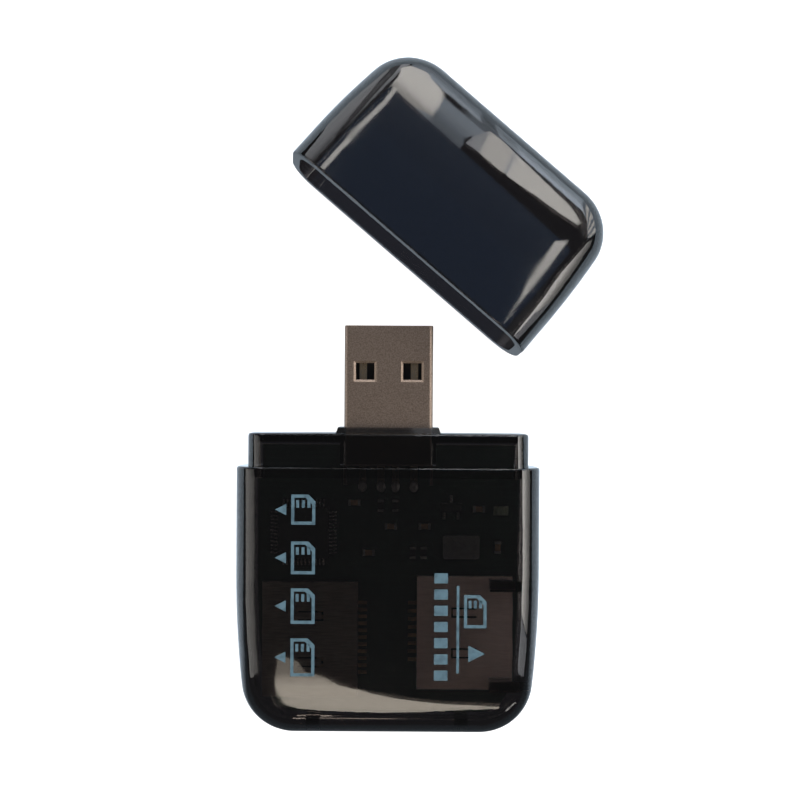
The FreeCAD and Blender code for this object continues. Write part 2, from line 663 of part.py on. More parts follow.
def micro_socket():
    rows = {"_contacts": (MICRO_ROW, rear_root(MICRO_SOCKET), REAR_WALL)}
    mouth = Vector(BOARD_HALF_WIDTH - SIDE_SOCKET_SETBACK, MICRO_CENTRE_Y, BOARD_TOP)
    return socket_pieces("micro_socket", MICRO_SOCKET, rows, mouth, Vector(-1, 0, 0), Vector(0, 0, 1))


def small_socket():
    rows = {"_contacts": (SMALL_ROW, rear_root(SMALL_SOCKET), REAR_WALL)}
    mouth = Vector(SIDE_SOCKET_SETBACK - BOARD_HALF_WIDTH, SMALL_CENTRE_Y, BOARD_TOP)
    return socket_pieces("small_socket", SMALL_SOCKET, rows, mouth, Vector(1, 0, 0), Vector(0, 0, 1))


def large_socket():
    rows = {"_contacts": (LARGE_ROW, rear_root(LARGE_SOCKET), REAR_WALL),
            "_inner_contacts": (LARGE_INNER_ROW, inner_root(LARGE_SOCKET), CONTACT_BAR)}
    mouth = Vector(0, BOARD_END_Y + LARGE_SOCKET_SETBACK, BOARD_BOTTOM)
    return socket_pieces("large_socket", LARGE_SOCKET, rows, mouth, Vector(0, 1, 0), Vector(0, 0, -1))


def gull_wing(body_half, exit_height, v, width):
    """Lead from a moulded body at u = body_half, down to a foot on the board."""
    tip = body_half + LEAD_REACH
    path = [(body_half, exit_height), (body_half + LEAD_SHOULDER, exit_height),
            (tip - LEAD_FOOT, 0), (tip, 0)]
    return strip(path, LEAD_THICKNESS, v - width / 2, v + width / 2)


CHIP_X = CHIP_EDGE_GAP + LEAD_REACH + CHIP_SIZE / 2 - BOARD_HALF_WIDTH
CHIP_Y = (SOCKET_TOP_Y + TAIL_END_Y) / 2


def moulded_package(length, width, bottom, top):
    """Epoxy block with its upper and lower edges bevelled."""
    block = box(-length / 2, length / 2, -width / 2, width / 2, bottom, top)
    return block.makeChamfer(CHIP_CHAMFER, [edge for edge in block.Edges if edge.BoundBox.ZLength < TOLERANCE])


def controller_chip():
    half = CHIP_SIZE / 2
    body = moulded_package(CHIP_SIZE, CHIP_SIZE, CHIP_STANDOFF, CHIP_STANDOFF + CHIP_HEIGHT)
    mark = Part.makeCylinder(PIN_MARK_RADIUS, PIN_MARK_DEPTH + OVERSHOOT,
                             Vector(PIN_MARK_INSET - half, half - PIN_MARK_INSET,
                                    CHIP_STANDOFF + CHIP_HEIGHT - PIN_MARK_DEPTH))
    return carved(body, [mark]).translated(Vector(CHIP_X, CHIP_Y, BOARD_TOP))


def controller_leads():
    exit_height = CHIP_STANDOFF + CHIP_HEIGHT / 2
    row = ContactRow(CHIP_LEADS_A_SIDE, CHIP_LEAD_PITCH)
    leads = []
    for quarter in range(4):
        for v in row_places(row):
            lead = gull_wing(CHIP_SIZE / 2, exit_height, v, CHIP_LEAD_WIDTH)
            lead.rotate(Vector(), Vector(0, 0, 1), 90 * quarter)
            leads.append(lead.translated(Vector(CHIP_X, CHIP_Y, BOARD_TOP)))
    return Part.makeCompound(leads)


REGULATOR_X = BOARD_HALF_WIDTH - REGULATOR_EDGE_GAP
REGULATOR_Y = FRONT_ROW_Y - REGULATOR_ROW_DROP


def regulator():
    length, width, height = REGULATOR_SIZE
    body = moulded_package(length, width, CHIP_STANDOFF, height)
    return body.translated(Vector(REGULATOR_X, REGULATOR_Y, BOARD_TOP))


def regulator_leads():
    length, width, height = REGULATOR_SIZE
    leads = []
    for x, side in REGULATOR_LEADS:
        lead = gull_wing(width / 2, height / 2, -side * x, REGULATOR_LEAD_WIDTH)
        lead.rotate(Vector(), Vector(0, 0, 1), 90 * side)
        leads.append(lead.translated(Vector(REGULATOR_X, REGULATOR_Y, BOARD_TOP)))
    return Part.makeCompound(leads)


def on_board(shape, x, y, turned=False):
    if turned:
        shape.rotate(Vector(), Vector(0, 0, 1), 90)
    return shape.translated(Vector(x, y, BOARD_TOP))


def upright_edges(block):
    return [edge for edge in block.Edges if edge.BoundBox.ZLength > TOLERANCE]


def crystal():
    length, width, height = CRYSTAL_SIZE
    base = box(-length / 2, length / 2, -width / 2, width / 2, 0, height)
    lid_x = length / 2 - CRYSTAL_LID_INSET
    lid_y = width / 2 - CRYSTAL_LID_INSET
    lid = box(-lid_x, lid_x, -lid_y, lid_y, height, height + CRYSTAL_LID_HEIGHT)
    body = joined(base.makeFillet(CRYSTAL_CORNER, upright_edges(base)),
                  lid.makeFillet(CRYSTAL_CORNER, upright_edges(lid)))
    return on_board(body, BOARD_HALF_WIDTH - CRYSTAL_EDGE_GAP, CRYSTAL_ROW_Y)


def indicator_led():
    length, width, height = LED_SIZE
    base = box(-length / 2, length / 2, -width / 2, width / 2, 0, height)
    half = LED_LENS_LENGTH / 2
    top = height + LED_LENS_HEIGHT
    lens = box(-half, half, -width / 2, width / 2, height, top)
    upper_edges = [edge for edge in lens.Edges if edge.BoundBox.ZMin > top - TOLERANCE]
    lens = lens.makeChamfer(LED_LENS_CHAMFER, upper_edges)
    return on_board(joined(base, lens), BOARD_HALF_WIDTH - LED_EDGE_GAP, FRONT_ROW_Y - LED_ROW_DROP)


def passive(height):
    """Chip capacitor or resistor: a block with a plated cap on each end."""
    half_x = PASSIVE_LENGTH / 2
    half_y = PASSIVE_WIDTH / 2
    step = TERMINAL_STEP
    middle = box(step - half_x, half_x - step, step - half_y, half_y - step, 0, height - step)
    ends = [box(x0, x0 + TERMINAL_LENGTH, -half_y, half_y, 0, height)
            for x0 in (-half_x, half_x - TERMINAL_LENGTH)]
    return joined(middle, *ends)


# Chip parts by name: height, place on the board, and whether turned along y
ChipPart = namedtuple("ChipPart", "height x y turned")
DATA_X = PLUG_CONTACTS["data_plus_contact"].x
FILTER_X = BOARD_HALF_WIDTH - FILTER_EDGE_GAP
CRYSTAL_LOAD_X = BOARD_HALF_WIDTH - CRYSTAL_LOAD_EDGE_GAP
CHIP_PARTS = {
    "capacitor_1": ChipPart(CAPACITOR_HEIGHT, 0.4, MIDDLE_ROW_Y, False),
    "capacitor_2": ChipPart(CAPACITOR_HEIGHT, 5.0, MIDDLE_ROW_Y, False),
    "capacitor_3": ChipPart(CAPACITOR_HEIGHT, -2.6, REAR_ROW_Y, False),
    "capacitor_4": ChipPart(CAPACITOR_HEIGHT, FILTER_X, FRONT_ROW_Y - FILTER_ROW_DROP, False),
    "capacitor_5": ChipPart(CAPACITOR_HEIGHT, -4.6, FRONT_ROW_Y + SUPPLY_ROW_RISE, False),
    "capacitor_6": ChipPart(CAPACITOR_HEIGHT, CRYSTAL_LOAD_X, CRYSTAL_ROW_Y, True),
    "resistor_1": ChipPart(RESISTOR_HEIGHT, -DATA_X, FRONT_ROW_Y, True),
    "resistor_2": ChipPart(RESISTOR_HEIGHT, DATA_X, FRONT_ROW_Y, True),
    "resistor_3": ChipPart(RESISTOR_HEIGHT, 3.4, REAR_ROW_Y, True),
    "resistor_4": ChipPart(RESISTOR_HEIGHT, 4.9, REAR_ROW_Y, True),
}


def all_pieces():
    whole = housing()
    pieces = {"front_shell": front_shell(whole), "back_shell": back_shell(whole), "cap": cap(),
              "plug_shell": plug_shell(), "plug_tongue": plug_tongue(), "circuit_board": circuit_board()}
    for name, contact in PLUG_CONTACTS.items():
        pieces[name] = plug_contact(contact)
    for group in (micro_socket(), small_socket(), large_socket()):
        pieces.update(group)
    for name, part in CHIP_PARTS.items():
        pieces[name] = on_board(passive(part.height), part.x, part.y, part.turned)
    pieces.update({"controller_chip": controller_chip(), "controller_leads": controller_leads(),
                   "regulator": regulator(), "regulator_leads": regulator_leads(),
                   "crystal": crystal(), "indicator_led": indicator_led()})
    return pieces


os.makedirs("parts", exist_ok=True)
for node, shape in all_pieces().items():
    shape.exportStep("parts/" + node + ".step")
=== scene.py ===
import math

import bmesh
import bpy
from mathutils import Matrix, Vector
from mathutils.bvhtree import BVHTree


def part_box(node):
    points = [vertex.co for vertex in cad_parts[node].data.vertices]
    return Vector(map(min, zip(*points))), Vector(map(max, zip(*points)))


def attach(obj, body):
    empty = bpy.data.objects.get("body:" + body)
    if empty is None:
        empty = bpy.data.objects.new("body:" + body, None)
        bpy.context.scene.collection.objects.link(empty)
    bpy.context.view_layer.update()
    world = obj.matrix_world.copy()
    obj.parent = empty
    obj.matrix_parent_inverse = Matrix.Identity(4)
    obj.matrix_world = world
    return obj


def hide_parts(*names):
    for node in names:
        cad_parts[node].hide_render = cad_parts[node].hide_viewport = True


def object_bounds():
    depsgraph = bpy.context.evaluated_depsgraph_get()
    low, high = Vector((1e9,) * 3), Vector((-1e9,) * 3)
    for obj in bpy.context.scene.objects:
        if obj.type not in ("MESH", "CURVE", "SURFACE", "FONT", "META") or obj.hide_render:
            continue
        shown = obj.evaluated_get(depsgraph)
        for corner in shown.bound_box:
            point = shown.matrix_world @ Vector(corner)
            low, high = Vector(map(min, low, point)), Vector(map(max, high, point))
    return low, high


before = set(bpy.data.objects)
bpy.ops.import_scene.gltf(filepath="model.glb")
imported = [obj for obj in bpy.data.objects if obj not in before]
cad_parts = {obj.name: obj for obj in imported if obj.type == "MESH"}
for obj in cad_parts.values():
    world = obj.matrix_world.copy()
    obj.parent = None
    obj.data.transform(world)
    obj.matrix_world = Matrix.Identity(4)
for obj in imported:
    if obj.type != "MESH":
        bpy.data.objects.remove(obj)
cad_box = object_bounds()
MM = 0.001


# Circuit board: glass fibre laminate, copper on both sides under green solder resist.
# It is cut with a router, so the pale core shows along its edges. It lies on the back
# half's posts, and the front half's posts hold it down.
class Socket:
    """A socket in a node tree. Arithmetic on it adds Math nodes."""

    def __init__(self, tree, link=None):
        self.tree = tree
        self.link = link

    def node(self, kind, settings, values, output=0):
        """A new node: its settings first, then the values or links of its sockets."""
        made = self.tree.nodes.new(kind)
        for name, setting in settings.items():
            setattr(made, name, setting)
        for key, value in values.items():
            if isinstance(value, Socket):
                self.tree.links.new(value.link, made.inputs[key])
            else:
                made.inputs[key].default_value = value
        return Socket(self.tree, made.outputs[output])

    def maths(self, operation, first, second):
        return self.node("ShaderNodeMath", {"operation": operation}, {0: first, 1: second})

    def __add__(self, other):
        return self.maths("ADD", self, other)

    def __radd__(self, other):
        return self.maths("ADD", other, self)

    def __sub__(self, other):
        return self.maths("SUBTRACT", self, other)

    def __rsub__(self, other):
        return self.maths("SUBTRACT", other, self)

    def __mul__(self, other):
        return self.maths("MULTIPLY", self, other)

    def __rmul__(self, other):
        return self.maths("MULTIPLY", other, self)

    def between(self, low, high):
        """The number low where this is 0, high where it is 1."""
        return low + (high - low) * self

    def fade(self, low, high):
        """0 below low and 1 above high, with a soft step between."""
        values = {"Value": self, "From Min": low, "From Max": high}
        return self.node("ShaderNodeMapRange", {"interpolation_type": "SMOOTHSTEP"}, values)

    def tint(self, low, high):
        """The colour low where this is 0, high where it is 1."""
        return self.node("ShaderNodeMix", {"data_type": "RGBA"}, {0: self, 6: low, 7: high}, 2)

    def part(self, axis):
        """One of these coordinates, by its letter."""
        return self.node("ShaderNodeSeparateXYZ", {}, {"Vector": self}, axis)

    def noise(self, scale, detail=2.0):
        """Noise at these coordinates, scale lumps to the metre."""
        values = {"Vector": self, "Scale": scale, "Detail": detail}
        return self.node("ShaderNodeTexNoise", {}, values)

    def stretched(self, x, y, z):
        """These coordinates, each multiplied by its own factor."""
        values = {0: self, 1: (x, y, z)}
        return self.node("ShaderNodeVectorMath", {"operation": "MULTIPLY"}, values)

    def bump(self, strength, depth):
        """A normal for this height."""
        values = {"Height": self, "Strength": strength, "Distance": depth}
        return self.node("ShaderNodeBump", {}, values)

    def feed(self, target):
        self.tree.links.new(self.link, target)


def start_material(name):
    """A new material: itself, its coordinates on the piece, and its shader's sockets."""
    material = bpy.data.materials.new(name)
    material.use_nodes = True
    coordinates = Socket(material.node_tree).node("ShaderNodeTexCoord", {}, {}, "Object")
    return material, coordinates, material.node_tree.nodes["Principled BSDF"].inputs


def paint(material, *nodes):
    """Puts a material on CAD nodes that are shown as they are."""
    for node in nodes:
        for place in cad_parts[node].material_slots:
            place.material = material


RESIST_THICKNESS = 0.05 * MM
RESIST_GREEN = (0.007, 0.024, 0.017, 1)
TRACK_GREEN = (0.008, 0.029, 0.020, 1)
LAMINATE_CORE = (0.42, 0.36, 0.20, 1)

board_bottom, board_top = (corner.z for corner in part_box("circuit_board"))
resist, at, shader = start_material("solder resist over copper")
height = at.part("Z")
outer = height.fade(board_top - RESIST_THICKNESS, board_top)
under = 1 - height.fade(board_bottom, board_bottom + RESIST_THICKNESS)
tracks = at.node("ShaderNodeTexBrick", {"offset": 0.37, "squash": 0.6, "squash_frequency": 3},
                 {"Vector": at, "Scale": 420.0, "Mortar Size": 0.07, "Mortar Smooth": 0.2,
                  "Brick Width": 2.6, "Row Height": 0.32}, "Fac")
faces = tracks.tint(RESIST_GREEN, TRACK_GREEN)
(outer + under).tint(LAMINATE_CORE, faces).feed(shader["Base Color"])
at.noise(900).between(0.28, 0.48).feed(shader["Roughness"])
tracks.bump(0.1, 0.03 * MM).feed(shader["Normal"])
paint(resist, "circuit_board")


# Plug: a tube folded from nickel plated steel strip, with two latch holes on each side,
# round a black moulded tongue with four gold plated contact strips. Its tabs and the
# contacts' tails are soldered to the board.
WELD_DISTANCE = 0.0005 * MM
SHARP_EDGE = math.radians(32)


def welded(node, name):
    """A copy of a CAD node as one closed mesh, shaded smooth but for its sharp edges."""
    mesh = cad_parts[node].data.copy()
    mesh.attributes.remove(mesh.attributes["custom_normal"])
    shape = bmesh.new()
    shape.from_mesh(mesh)
    bmesh.ops.remove_doubles(shape, verts=shape.verts, dist=WELD_DISTANCE)
    for face in shape.faces:
        face.smooth = True
    for edge in shape.edges:
        edge.smooth = edge.calc_face_angle(0.0) < SHARP_EDGE
    shape.to_mesh(mesh)
    shape.free()
    piece = bpy.data.objects.new(name, mesh)
    bpy.context.collection.objects.link(piece)
    evening = piece.modifiers.new("Even normals", "WEIGHTED_NORMAL")
    evening.keep_sharp = True
    view = bpy.context.evaluated_depsgraph_get()
    piece.data = bpy.data.meshes.new_from_object(piece.evaluated_get(view))
    piece.modifiers.clear()
    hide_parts(node)
    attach(piece, "root")
    return piece


def coat(piece, material):
    """Gives a piece its material."""
    piece.data.materials.clear()
    piece.data.materials.append(material)


NICKEL = (0.42, 0.33, 0.27, 1)
NICKEL_DARK = (0.25, 0.195, 0.158, 1)
NICKEL_IN_PAINTED_SHADE = (0.13, 0.105, 0.09, 1)
PAINTED_SHADE_EDGE = 0.8 * MM
TONGUE_BLACK = (0.012, 0.012, 0.013, 1)
TONGUE_SPECK = (0.022, 0.022, 0.024, 1)
GOLD = (0.76, 0.60, 0.40, 1)
GOLD_WORN = (0.66, 0.56, 0.43, 1)
GOLD_IN_PAINTED_SHADE = (0.14, 0.12, 0.09, 1)
PLUG_CONTACTS = ("power_contact", "data_minus_contact", "data_plus_contact", "ground_contact")

nickel, at, shader = start_material("satin nickel plating")
grain = at.noise(5600)
collar_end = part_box("front_shell")[1].y
# Inside the collar the plating is painted much darker: painted shade where the body hides the plug.
outside = at.part("Y").fade(collar_end - PAINTED_SHADE_EDGE, collar_end)
plating = grain.fade(0.25, 0.75).tint(NICKEL_DARK, NICKEL)
outside.tint(NICKEL_IN_PAINTED_SHADE, plating).feed(shader["Base Color"])
shader["Metallic"].default_value = 1.0
grain.between(0.42, 0.58).feed(shader["Roughness"])
at.noise(4200, 3.0).bump(0.25, 0.02 * MM).feed(shader["Normal"])
coat(welded("plug_shell", "plug_tube"), nickel)

black, at, shader = start_material("black moulded plastic")
speckle = at.noise(5200, 3.0)
speckle.tint(TONGUE_BLACK, TONGUE_SPECK).feed(shader["Base Color"])
speckle.between(0.38, 0.58).feed(shader["Roughness"])
speckle.bump(0.2, 0.01 * MM).feed(shader["Normal"])
paint(black, "plug_tongue", "micro_socket_frame", "small_socket_frame", "large_socket_frame")

plug_low, plug_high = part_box("plug_shell")
gold, at, shader = start_material("gold plated contact")
wear = at.stretched(6.0, 1.0, 1.0).noise(700, 3.0)
# Towards their tails, inside the body, the contacts are painted dark: painted shade.
tip = at.part("Y").fade(plug_low.y, (plug_low.y + plug_high.y) / 2)
rubbed = wear.fade(0.35, 0.75).tint(GOLD, GOLD_WORN)
tip.tint(GOLD_IN_PAINTED_SHADE, rubbed).feed(shader["Base Color"])
shader["Metallic"].default_value = 1.0
wear.between(0.2, 0.4).feed(shader["Roughness"])
paint(gold, *PLUG_CONTACTS)


# Sockets: covers of thin stainless steel, stamped and folded, snapped over black frames. The
# rolled strip keeps fine lines along its length. The contacts are springs of bronze strip.
BRONZE = (0.30, 0.20, 0.12, 1)
BRONZE_DULL = (0.19, 0.14, 0.095, 1)
STEEL = (0.95, 0.76, 0.69, 1)
STEEL_DARK = (0.82, 0.64, 0.57, 1)
SHADED_STEEL = (0.24, 0.19, 0.16, 1)
SHADED_STEEL_DARK = (0.16, 0.128, 0.108, 1)


def rolled_steel(name, pale, dark):
    """Strip with lines along its rolling direction, between two shades."""
    steel, at, shader = start_material(name)
    lines = at.stretched(1.0, 14.0, 1.0).noise(500, 4.0)
    lines.fade(0.3, 0.7).tint(dark, pale).feed(shader["Base Color"])
    shader["Metallic"].default_value = 0.15
    lines.between(0.45, 0.65).feed(shader["Roughness"])
    lines.bump(0.15, 0.01 * MM).feed(shader["Normal"])
    return steel


bronze, at, shader = start_material("bronze spring strip")
tarnish = at.noise(1800, 3.0)
tarnish.fade(0.3, 0.7).tint(BRONZE, BRONZE_DULL).feed(shader["Base Color"])
shader["Metallic"].default_value = 0.8
tarnish.between(0.3, 0.5).feed(shader["Roughness"])
paint(bronze, "micro_socket_contacts", "small_socket_contacts", "large_socket_contacts",
      "large_socket_inner_contacts")
paint(rolled_steel("rolled steel strip", STEEL, STEEL_DARK),
      "micro_socket_cover", "large_socket_cover")
# The small socket's cover takes a darker copy of the same steel: painted shade for the lower, dimmer
# cover.
paint(rolled_steel("steel strip in painted shade", SHADED_STEEL, SHADED_STEEL_DARK),
      "small_socket_cover")


# Parts soldered on the board: black epoxy packages, a metal lidded crystal, tan and
# black chip parts, and tinned leads. All are placed by machine and reflowed.
EPOXY = (0.016, 0.016, 0.017, 1)
EPOXY_SPECK = (0.035, 0.035, 0.036, 1)
TIN = (0.36, 0.35, 0.335, 1)
TIN_DULL = (0.23, 0.225, 0.215, 1)
CERAMIC = (0.28, 0.185, 0.105, 1)
CERAMIC_DARK = (0.20, 0.125, 0.07, 1)
LED_CLEAR = (0.27, 0.29, 0.24, 1)
LED_CORE = (0.19, 0.24, 0.13, 1)
CAPACITORS = ["capacitor_%d" % n for n in range(1, 7)]
RESISTORS = ["resistor_%d" % n for n in range(1, 5)]

epoxy, at, shader = start_material("black epoxy")
specks = at.noise(7000)
specks.fade(0.55, 0.75).tint(EPOXY, EPOXY_SPECK).feed(shader["Base Color"])
specks.between(0.5, 0.7).feed(shader["Roughness"])
specks.bump(0.3, 0.01 * MM).feed(shader["Normal"])
paint(epoxy, "controller_chip", "regulator", *RESISTORS)

tin, at, shader = start_material("tinned metal")
cloud = at.noise(2400, 3.0)
cloud.tint(TIN, TIN_DULL).feed(shader["Base Color"])
shader["Metallic"].default_value = 1.0
cloud.between(0.25, 0.5).feed(shader["Roughness"])
paint(tin, "controller_leads", "regulator_leads", "crystal")

ceramic, at, shader = start_material("fired ceramic")
mottle = at.noise(3000, 3.0)
mottle.tint(CERAMIC, CERAMIC_DARK).feed(shader["Base Color"])
mottle.between(0.4, 0.6).feed(shader["Roughness"])
paint(ceramic, *CAPACITORS)

resin, at, shader = start_material("clear resin")
at.noise(1500).tint(LED_CLEAR, LED_CORE).feed(shader["Base Color"])
at.noise(2500).between(0.2, 0.35).feed(shader["Roughness"])
paint(resin, "indicator_led")


# Solder: tin that wets the tails of the plug's contacts and the ends of the chip parts,
# and sets in small domes and square caps.
def size_tree(name, sizes):
    """A geometry node tree with points in, a mesh out, and a named input for each size."""
    tree = bpy.data.node_groups.new(name, "GeometryNodeTree")
    tree.interface.new_socket("Points", in_out="INPUT", socket_type="NodeSocketGeometry")
    for size in sizes:
        tree.interface.new_socket(size, in_out="INPUT", socket_type="NodeSocketFloat")
    tree.interface.new_socket("Mesh", in_out="OUTPUT", socket_type="NodeSocketGeometry")
    given = tree.nodes.new("NodeGroupInput")
    return tree, {socket.name: Socket(tree, socket) for socket in given.outputs if socket.name}


def repeat(tree, given, shape, material):
    """Ends a tree: shape on every point, made real, in one material."""
    spread = {"Points": given["Points"], "Instance": shape}
    placed = shape.node("GeometryNodeInstanceOnPoints", {}, spread)
    real = placed.node("GeometryNodeRealizeInstances", {}, {"Geometry": placed})
    coating = {"Geometry": real, "Material": material}
    coated = real.node("GeometryNodeSetMaterial", {}, coating)
    coated.feed(tree.nodes.new("NodeGroupOutput").inputs["Mesh"])


def block_tree(name, sizes, material):
    """A tree with a block on every point, its sizes along X, Y and Z given by name."""
    tree, given = size_tree(name, sizes)
    x, y, z = (given[size] for size in sizes)
    block = x.node("ShaderNodeCombineXYZ", {}, {"X": x, "Y": y, "Z": z})
    repeat(tree, given, block.node("GeometryNodeMeshCube", {}, {"Size": block}), material)
    return tree


def grow(name, tree, points, sizes):
    """A piece that a tree makes on points, as a plain mesh on the root body."""
    mesh = bpy.data.meshes.new(name)
    mesh.from_pydata(points, [], [])
    piece = bpy.data.objects.new(name, mesh)
    bpy.context.collection.objects.link(piece)
    growing = piece.modifiers.new("Growing", "NODES")
    growing.node_group = tree
    for size, value in sizes.items():
        growing[tree.interface.items_tree[size].identifier] = value
    view = bpy.context.evaluated_depsgraph_get()
    piece.data = bpy.data.meshes.new_from_object(piece.evaluated_get(view))
    piece.modifiers.remove(growing)
    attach(piece, "root")
    return piece


def middle(node):
    low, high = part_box(node)
    return (low + high) / 2


DOME_RADIUS = 0.62 * MM
DOME_HEIGHT = 0.55
DOME_LENGTH = 1.3
DOME_SEGMENTS = 14
DOME_RINGS = 8
JOINT_FROM_END = 0.5 * MM
JOINT_LIFT = 0.2 * MM

dome_tree, given = size_tree("solder dome", ("Radius", "Height"))
radius = given["Radius"]
ball = radius.node("GeometryNodeMeshUVSphere", {},
                   {"Segments": DOME_SEGMENTS, "Rings": DOME_RINGS, "Radius": radius})
flat = ball.node("ShaderNodeCombineXYZ", {}, {"X": 1.0, "Y": DOME_LENGTH, "Z": given["Height"]})
dome = ball.node("GeometryNodeTransform", {}, {"Geometry": ball, "Scale": flat})
repeat(dome_tree, given, dome, tin)
tail_joints = [Vector((middle(tail).x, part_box(tail)[0].y + JOINT_FROM_END, board_top + JOINT_LIFT))
               for tail in PLUG_CONTACTS]
dome_sizes = {"Radius": DOME_RADIUS, "Height": DOME_HEIGHT}
grow("tail_joints", dome_tree, tail_joints, dome_sizes)

END_LENGTH = 0.3 * MM
END_LAP = 0.03 * MM

end_tree = block_tree("tinned chip end", ("Across X", "Across Y", "Height"), tin)
for part in CAPACITORS + RESISTORS:
    low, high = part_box(part)
    extent = high - low
    along = Vector((1, 0, 0)) if extent.x > extent.y else Vector((0, 1, 0))
    reach = (max(extent.x, extent.y) - END_LENGTH) / 2
    across = min(extent.x, extent.y) + 2 * END_LAP
    ends = [middle(part) + along * reach * side for side in (-1, 1)]
    long = END_LENGTH + 2 * END_LAP
    sizes = {"Across X": long if along.x else across, "Across Y": across if along.x else long,
             "Height": extent.z + 2 * END_LAP}
    grow(part + "_ends", end_tree, ends, sizes)


# Body halves: smoke tinted clear plastic, injection moulded, glossy on both sides. A
# tongue on one half's rim seats in the other's groove, and the seam is welded. The seam
# is drawn open by a hair, so that light meets two separate surfaces there.
SMOKE_CLEAR = (0.13, 0.09, 0.08, 1)
SMOKE_DENSITY = 780.0
SMOKE_INDEX = 1.55
HANDLED = (0.97, 0.98, 1.0, 1)
UNTOUCHED = (1.0, 1.0, 1.0, 1)
HAIRLINE_ROUGHNESS = 0.05
SEAM = 0.03 * MM
SEAM_OVER_BOARD = 0.3 * MM

smoke, at, shader = start_material("smoke tinted clear plastic")
handling = at.noise(160, 4.0)
hairlines = at.stretched(9.0, 0.6, 1.0).noise(900).fade(0.68, 0.78)
handling.tint(HANDLED, UNTOUCHED).feed(shader["Base Color"])
dullness = handling.fade(0.4, 0.8).between(0.02, 0.06)
(dullness + HAIRLINE_ROUGHNESS * hairlines).feed(shader["Roughness"])
shader["Transmission Weight"].default_value = 1.0
shader["IOR"].default_value = SMOKE_INDEX
at.noise(70).bump(0.05, 0.05 * MM).feed(shader["Normal"])
tinting = {"Color": SMOKE_CLEAR, "Density": SMOKE_DENSITY}
depth = at.node("ShaderNodeVolumeAbsorption", {}, tinting)
depth.feed(smoke.node_tree.nodes["Material Output"].inputs["Volume"])

back_half = welded("back_shell", "back_half")
front_half = welded("front_shell", "front_half")
seam_height = board_top + SEAM_OVER_BOARD
for half, way in ((back_half, -1), (front_half, 1)):
    for vertex in half.data.vertices:
        if abs(vertex.co.z - seam_height) < SEAM:
            vertex.co.z += way * SEAM / 2
    coat(half, smoke)


# Print: pale blue ink, pad printed on the front face. It is plain signs for the slots: card
# outlines, bars for their contacts, and arrows to the side that takes each card.
INK_BLUE = (0.155, 0.275, 0.35, 1)
INK_THIN = (0.09, 0.165, 0.215, 1)
INK_DEPTH = 0.03 * MM
INK_LIFT = 0.01 * MM
WELL_ABOVE = 10 * MM
STROKE = 0.42
CARD_CORNER = 0.9

ink, at, shader = start_material("pad printed ink")
cover = at.noise(1300, 3.0)
cover.fade(0.25, 0.6).tint(INK_THIN, INK_BLUE).feed(shader["Base Color"])
cover.between(0.45, 0.65).feed(shader["Roughness"])
face_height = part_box("front_shell")[1].z
face_tree = BVHTree.FromPolygons([vertex.co for vertex in front_half.data.vertices],
                                 [list(face.vertices) for face in front_half.data.polygons])


def lay_on_face(piece):
    """Drops each vertex of a flat print onto the rounded front face."""
    for vertex in piece.data.vertices:
        above = Vector((vertex.co.x, vertex.co.y, face_height + WELL_ABOVE))
        spot = face_tree.ray_cast(above, Vector((0, 0, -1)))[0]
        vertex.co.z += spot.z - face_height + INK_LIFT


def print_shapes(name, outlines):
    """Prints in mm, each an outer outline and perhaps an inner one of as many points."""
    shape = bmesh.new()
    for outer, inner in outlines:
        rings = [[shape.verts.new((x * MM, y * MM, face_height)) for x, y in ring]
                 for ring in (outer, inner) if ring]
        if inner:
            for n in range(len(outer)):
                m = (n + 1) % len(outer)
                shape.faces.new((rings[0][n], rings[0][m], rings[1][m], rings[1][n]))
        else:
            shape.faces.new(rings[0])
    raised = bmesh.ops.extrude_face_region(shape, geom=shape.faces[:], use_keep_orig=True)["geom"]
    corners = [part for part in raised if isinstance(part, bmesh.types.BMVert)]
    bmesh.ops.translate(shape, vec=(0, 0, INK_DEPTH), verts=corners)
    bmesh.ops.recalc_face_normals(shape, faces=shape.faces)
    mesh = bpy.data.meshes.new(name)
    shape.to_mesh(mesh)
    shape.free()
    mesh.materials.append(ink)
    piece = bpy.data.objects.new(name, mesh)
    bpy.context.collection.objects.link(piece)
    lay_on_face(piece)
    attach(piece, "root")


def card_sign(x, y, width, length):
    """A card's outline with one corner cut off, as an outer and an inner ring."""
    rings = []
    for inset in (0.0, STROKE):
        w = width / 2 - inset
        h = length / 2 - inset
        rings.append([(x - w, y - h), (x + w, y - h), (x + w, y + h - CARD_CORNER),
                      (x + w - CARD_CORNER, y + h), (x - w, y + h)])
    return rings[0], rings[1]


def arrow_sign(x, y, size, way):
    """A solid arrowhead that points along X, way being 1 or -1."""
    reach = way * size / 2
    ring = [(x - reach, y - size / 2), (x + reach, y), (x - reach, y + size / 2)]
    return (ring if way > 0 else ring[::-1]), None


LEFT_CARDS = -11.2
LEFT_CARD_WIDTH = 3.2
LEFT_CARD_LENGTH = 4.0
LEFT_CARD_GROWTH = 0.35
LEFT_ARROWS = -14.2
LEFT_ARROW_SIZE = 1.5
LEFT_SIGN_ROWS = (12.4, 6.0, -0.4, -7.2)
LEFT_BAR_PITCH = 0.75
LEFT_BAR_INSET = 1.25
RIGHT_CARD = (11.7, -1.0)
RIGHT_CARD_SIZE = (3.0, 4.4)
RIGHT_ARROW = (11.9, -6.6)
RIGHT_ARROW_SIZE = 2.2
RIGHT_BAR_PITCH = 0.7
RIGHT_BAR_RISE = 0.95
BAR_COUNT = 3
BAR_SIZE = (0.4, 1.0)
BLOCK_SIZE = (1.8, 1.35)
BLOCK_COLUMN = 7.15
BLOCK_ROWS = 7
BLOCK_TOP = 3.4
BLOCK_PITCH = 2.15
RULE_MIDDLE = (9.4, -3.4)
RULE_SIZE = (0.35, 11.6)

